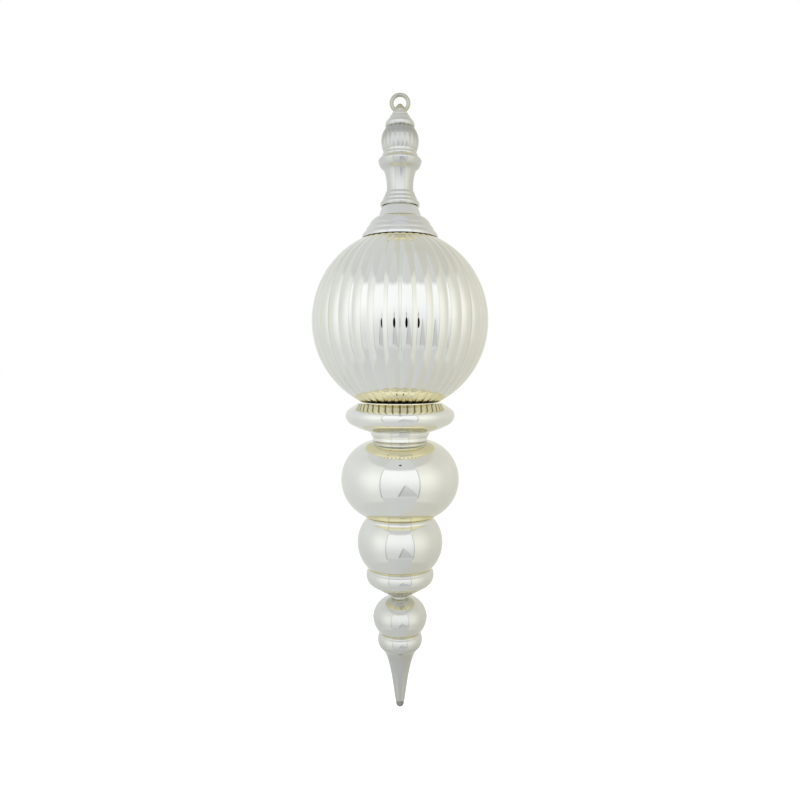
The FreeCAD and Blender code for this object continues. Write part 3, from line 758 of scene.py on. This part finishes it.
boss_line.flow(BOSS_TIP[0], eye_seat + BOSS_TIP[1])
boss_line.ledge(BOSS_TIP_BORE)
boss_ring = round_ring(BOSS_SEGMENTS)
boss = ringed_piece("eye_boss", [(r, z, boss_ring) for r, z in boss_line.points])
boss.data.set_sharp_from_angle(angle=math.radians(BOSS_SHARP_TURN))
points = []
faces = []
section = EYE_SECTION / 2000
middle = EYE_OUTER_RADIUS / 1000 - section
for step in range(RING_STEPS):
    turn = 2 * math.pi * step / RING_STEPS
    here = step * SECTION_STEPS
    after = (step + 1) % RING_STEPS * SECTION_STEPS
    for beside in range(SECTION_STEPS):
        lean = 2 * math.pi * beside / SECTION_STEPS
        over = (beside + 1) % SECTION_STEPS
        out = middle + section * math.cos(lean)
        points.append((out * math.cos(turn), section * math.sin(lean), out * math.sin(turn)))
        faces.append((here + beside, after + beside, after + over, here + over))
ring_mesh = bpy.data.meshes.new("eye_ring")
ring_mesh.from_pydata(points, [], faces)
ring_mesh.shade_smooth()
eye_ring = bpy.data.objects.new("eye_ring", ring_mesh)
bpy.context.scene.collection.objects.link(eye_ring)
EYE_TONE = (0.385, 0.383, 0.315, 1)
eye_silver = silver_finish("eye_silver", EYE_TONE, haze=0.05,
                           wave_scale=90.0, wave_depth=0.0001)
for piece in (boss, eye_ring):
    piece.data.materials.append(eye_silver)
    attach(piece, "root")
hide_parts("hanging_eye")

# The studio: a white tent with a broad soft light behind the camera, a pale floor
# well below the hanging ornament, and the camera a little above the drop's disc. A
# small dark lens close to the ball, seen only in reflections, is a painted reflection
# that its ribs mirror as dark slits.
FLOOR_DROP = 0.13
FLOOR_REACH = 30.0
FLOOR_TONE = (0.8, 0.8, 0.79, 1)
FLOOR_GLOW = 0.56
WHITE = (1, 1, 1, 1)
floor_level = cad_box[0][2] - FLOOR_DROP
floor_mesh = bpy.data.meshes.new("studio_floor")
floor_mesh.from_pydata([(x * FLOOR_REACH, y * FLOOR_REACH, floor_level)
                        for x, y in ((-1, -1), (1, -1), (1, 1), (-1, 1))],
                       [], [(0, 1, 2, 3)])
floor = bpy.data.objects.new("studio_floor", floor_mesh)
bpy.context.scene.collection.objects.link(floor)
floor_finish = bpy.data.materials.new("pale_floor")
floor_finish.use_nodes = True
shader = floor_finish.node_tree.nodes["Principled BSDF"]
shader.inputs["Base Color"].default_value = FLOOR_TONE
shader.inputs["Roughness"].default_value = 0.9
shader.inputs["Specular IOR Level"].default_value = 0.0
shader.inputs["Emission Color"].default_value = WHITE
path = floor_finish.node_tree.nodes.new("ShaderNodeLightPath")
lift = floor_finish.node_tree.nodes.new("ShaderNodeMath")
lift.operation = "MULTIPLY"
lift.inputs[1].default_value = FLOOR_GLOW
floor_finish.node_tree.links.new(path.outputs["Is Camera Ray"], lift.inputs[0])
floor_finish.node_tree.links.new(lift.outputs["Value"], shader.inputs["Emission Strength"])
floor_mesh.materials.append(floor_finish)
floor.visible_glossy = False

world = bpy.data.worlds.new("white_tent")
world.use_nodes = True
bpy.context.scene.world = world
tree = world.node_tree
background = tree.nodes["Background"]


def worked(operation, *values):
    """Math node on the tent's numbers; a value is a number or another node's output."""
    node = tree.nodes.new("ShaderNodeMath")
    node.operation = operation
    for index, value in enumerate(values):
        if isinstance(value, (int, float)):
            node.inputs[index].default_value = value
        else:
            tree.links.new(value, node.inputs[index])
    return node.outputs["Value"]


def eased(value, low, high, bottom, top):
    """Smooth change from bottom to top while a value goes from low to high."""
    node = tree.nodes.new("ShaderNodeMapRange")
    node.interpolation_type = "SMOOTHSTEP"
    tree.links.new(value, node.inputs["Value"])
    node.inputs["From Min"].default_value = low
    node.inputs["From Max"].default_value = high
    node.inputs["To Min"].default_value = bottom
    node.inputs["To Max"].default_value = top
    return node.outputs["Result"]


def product(*values):
    """Product of the tent's numbers."""
    total = values[0]
    for value in values[1:]:
        total = worked("MULTIPLY", total, value)
    return total


def mixed(factor, *colours):
    """Mix of two colours, each written out or another node's output."""
    node = tree.nodes.new("ShaderNodeMix")
    node.data_type = "RGBA"
    tree.links.new(factor, node.inputs["Factor"])
    for name, colour in zip("AB", colours):
        if isinstance(colour, tuple):
            node.inputs[name].default_value = colour
        else:
            tree.links.new(colour, node.inputs[name])
    return node.outputs["Result"]


# Directions in the tent are in degrees: climb is counted up from the horizon, and side
# from behind the camera towards the camera's right. Four values in brackets are two
# directions, and the tone at each of them.
place = tree.nodes.new("ShaderNodeTexCoord")
parts = tree.nodes.new("ShaderNodeSeparateXYZ")
tree.links.new(place.outputs["Generated"], parts.inputs["Vector"])
degrees = 180 / math.pi
towards_camera = worked("MULTIPLY", parts.outputs["Y"], -1.0)
side = product(worked("ARCTAN2", parts.outputs["X"], towards_camera), degrees)
climb = product(worked("ARCSINE", parts.outputs["Z"]), degrees)
away = worked("ABSOLUTE", side)

# The tent's walls, which dim towards the back, the floor and overhead.
WALL_FOOT = (-50, -41, 0.0, 1.0)
WALL_HEAD = (42, 50, 1.0, 0.0)
WALL_BASE = 0.30
WALL_RISE = (-36, 12, 0.0, 0.70)
WALL_FALL = (14, 46, 1.0, 0.55)
WALL_NEAR = (50, 100, 0.62, 0.0)
WALL_FAR = (60, 170, 0.38, 0.24)
WALL_LIGHT = 0.53
wall_span = product(eased(climb, *WALL_FOOT), eased(climb, *WALL_HEAD))
wall_glow = worked("ADD", eased(climb, *WALL_RISE), WALL_BASE)
wall_reach = worked("ADD", eased(away, *WALL_NEAR), eased(away, *WALL_FAR))
wall_light = product(wall_glow, wall_span, eased(climb, *WALL_FALL), wall_reach, WALL_LIGHT)

# The broad panel behind the camera.
PANEL_FOOT = (-38, -29, 0.0, 0.22)
PANEL_RISE = (-26, 22, 0.0, 0.74)
PANEL_HEAD = (36, 44, 1.0, 0.10)
PANEL_EDGE = (37.0, 39.0, 1.0, 0.0)
PANEL_LIGHT = 0.60
panel_glow = worked("ADD", eased(climb, *PANEL_FOOT), eased(climb, *PANEL_RISE))
panel_light = product(panel_glow, eased(climb, *PANEL_HEAD), PANEL_LIGHT)
inside = eased(away, *PANEL_EDGE)
outside = worked("SUBTRACT", 1.0, inside)
front = worked("ADD", product(panel_light, inside), product(wall_light, outside))

# The dark seam along each side of the panel, and the ground tone that all of it is
# added to, a little darker on the right.
SEAM_TURN = 38.0
SEAM_EDGE = (0.7, 1.7, 1.0, 0.0)
SEAM_FOOT = (-38, -33, 0.0, 1.0)
SEAM_HEAD = (36, 42, 1.0, 0.0)
SEAM_DEPTH = 0.45
GROUND = (-70, 50, 0.965, 0.955)
SIDE_SHADE = (-120, 120, -0.035, 0.035)
from_seam = worked("ABSOLUTE", worked("SUBTRACT", away, SEAM_TURN))
seam_span = product(eased(climb, *SEAM_FOOT), eased(climb, *SEAM_HEAD))
seam = product(eased(from_seam, *SEAM_EDGE), seam_span, SEAM_DEPTH)
light = worked("ADD", eased(climb, *GROUND), front)
light = worked("SUBTRACT", light, seam)
light = worked("SUBTRACT", light, eased(side, *SIDE_SHADE))

# A dim stand before the panel: a triangle that widens from its head to its foot, with
# a darker leg along its left side. The stand's own share goes from head to foot.
STAND_HEAD = 2.0
STAND_HEIGHT = 33.0
STAND_SIDE = 10.0
STAND_LEFT_SPREAD = 13.0
STAND_RIGHT_SPREAD = 28.0
STAND_LEFT_EDGE = (-1.2, 1.2, 0.0, 1.0)
STAND_RIGHT_EDGE = (-1.5, 1.5, 0.0, 1.0)
STAND_TOP = (0.0, 0.15, 0.0, 1.0)
STAND_FOOT = (0.95, 1.05, 1.0, 0.0)
STAND_DEPTH = 0.22
LEG_EDGE = (0.8, 3.2, 1.0, 0.0)
LEG_DEPTH = 0.34
stand = worked("DIVIDE", worked("SUBTRACT", STAND_HEAD, climb), STAND_HEIGHT)
left = worked("SUBTRACT", STAND_SIDE, product(stand, STAND_LEFT_SPREAD))
right = worked("ADD", STAND_SIDE, product(stand, STAND_RIGHT_SPREAD))
past_left = worked("SUBTRACT", side, left)
before_right = worked("SUBTRACT", right, side)
stand_span = product(eased(stand, *STAND_TOP), eased(stand, *STAND_FOOT))
between = product(eased(past_left, *STAND_LEFT_EDGE), eased(before_right, *STAND_RIGHT_EDGE))
leg = product(eased(worked("ABSOLUTE", past_left), *LEG_EDGE), stand_span)
light = worked("SUBTRACT", light, product(between, stand_span, STAND_DEPTH))
light = worked("SUBTRACT", light, product(leg, LEG_DEPTH))

# The tent is cooler on the left and in the panel. The camera sees it plain white, and
# rough surfaces are lit by plain grey.
TENT_LEFT = (0.975, 0.995, 1.03, 1)
TENT_RIGHT = (1.0, 0.99, 0.955, 1)
TENT_SIDES = (-110, 110, 0.0, 1.0)
PANEL_TINT = (0.985, 1.0, 1.07, 1)
PLAIN_GREY = (0.62, 0.62, 0.62, 1)
tint = mixed(inside, mixed(eased(side, *TENT_SIDES), TENT_LEFT, TENT_RIGHT), PANEL_TINT)
tent = tree.nodes.new("ShaderNodeVectorMath")
tent.operation = "SCALE"
tree.links.new(tint, tent.inputs[0])
tree.links.new(light, tent.inputs["Scale"])
rays = tree.nodes.new("ShaderNodeLightPath")
mirrored = worked("MAXIMUM", rays.outputs["Is Glossy Ray"], rays.outputs["Is Transmission Ray"])
plain = mixed(rays.outputs["Is Camera Ray"], PLAIN_GREY, WHITE)
tree.links.new(mixed(mirrored, plain, tent.outputs["Vector"]), background.inputs["Color"])
background.inputs["Strength"].default_value = 1.0

LAMP_TARGET = Vector((0, 0, -0.35))
SOFTBOXES = [("key_softbox", (-1.6, -2.2, 1.2), 38.0, 1.6),
             ("fill_softbox", (1.9, -1.6, 0.6), 20.0, 1.8)]
for name, spot, power, size in SOFTBOXES:
    lamp = bpy.data.lights.new(name, "AREA")
    lamp.energy = power
    lamp.size = size
    softbox = bpy.data.objects.new(name, lamp)
    softbox.location = spot
    aim = LAMP_TARGET - Vector(spot)
    softbox.rotation_euler = aim.to_track_quat("-Z", "Y").to_euler()
    softbox.visible_glossy = False
    bpy.context.scene.collection.objects.link(softbox)

# The lens, in metres: a black oval and two narrow paler strips, one above the other,
# that glow though they are no lamps; all of it is a painted reflection, seen only in mirrors.
LENS_AWAY = 0.160
LENS_HEIGHT = 0.4325
LENS_WIDTH = 0.0095
LENS_REACH = 0.0113
LENS_ASIDE = 0.0025
LENS_STEPS = 48
LENS_STRIPS = [(0.0035, LENS_REACH, 0.0226), (0.0017, 0.0226, 0.033)]
LENS_TONES = [("lens_black", 0.0), ("lens_grey", 0.72), ("lens_pale", 1.1)]
LENS_BLACK = (0.01, 0.01, 0.01, 1)
lens_level = LENS_HEIGHT - EYE_HEIGHT / 1000
points = [(LENS_ASIDE + LENS_WIDTH * x, -LENS_AWAY, lens_level + LENS_REACH * z)
          for x, z in round_ring(LENS_STEPS)]
faces = [tuple(range(LENS_STEPS))]
for half_width, foot, head in LENS_STRIPS:
    faces.append(tuple(range(len(points), len(points) + 4)))
    points += [(LENS_ASIDE + x, -LENS_AWAY, lens_level + z) for x, z in (
        (-half_width, foot), (half_width, foot), (half_width, head), (-half_width, head))]
lens_mesh = bpy.data.meshes.new("dark_lens")
lens_mesh.from_pydata(points, [], faces)
for index, (name, glow) in enumerate(LENS_TONES):
    finish = bpy.data.materials.new(name)
    finish.use_nodes = True
    shader = finish.node_tree.nodes["Principled BSDF"]
    shader.inputs["Base Color"].default_value = LENS_BLACK
    shader.inputs["Specular IOR Level"].default_value = 0.0
    shader.inputs["Emission Color"].default_value = WHITE
    shader.inputs["Emission Strength"].default_value = glow
    lens_mesh.materials.append(finish)
    lens_mesh.polygons[index].material_index = index
lens = bpy.data.objects.new("dark_lens", lens_mesh)
# Painted reflection: the lens is hidden from the camera, from diffuse light and from shadows.
lens.visible_camera = False
lens.visible_diffuse = False
lens.visible_shadow = False
bpy.context.scene.collection.objects.link(lens)

# The camera, in metres: level, with its frame shifted down to centre the ornament.
CAMERA_AWAY = 0.750
CAMERA_HEIGHT = 0.395
CAMERA_LENS = 29.1
CAMERA_SHIFT = -0.0431
eye = bpy.data.cameras.new("camera")
eye.sensor_width = 36.0
eye.lens = CAMERA_LENS
eye.shift_y = CAMERA_SHIFT
eye.clip_end = 100.0
camera = bpy.data.objects.new("camera", eye)
camera.location = (0, -CAMERA_AWAY, CAMERA_HEIGHT - EYE_HEIGHT / 1000)
camera.rotation_euler = (math.radians(90), 0, 0)
bpy.context.scene.collection.objects.link(camera)
bpy.context.scene.camera = camera
bpy.context.scene.view_settings.view_transform = "Standard"
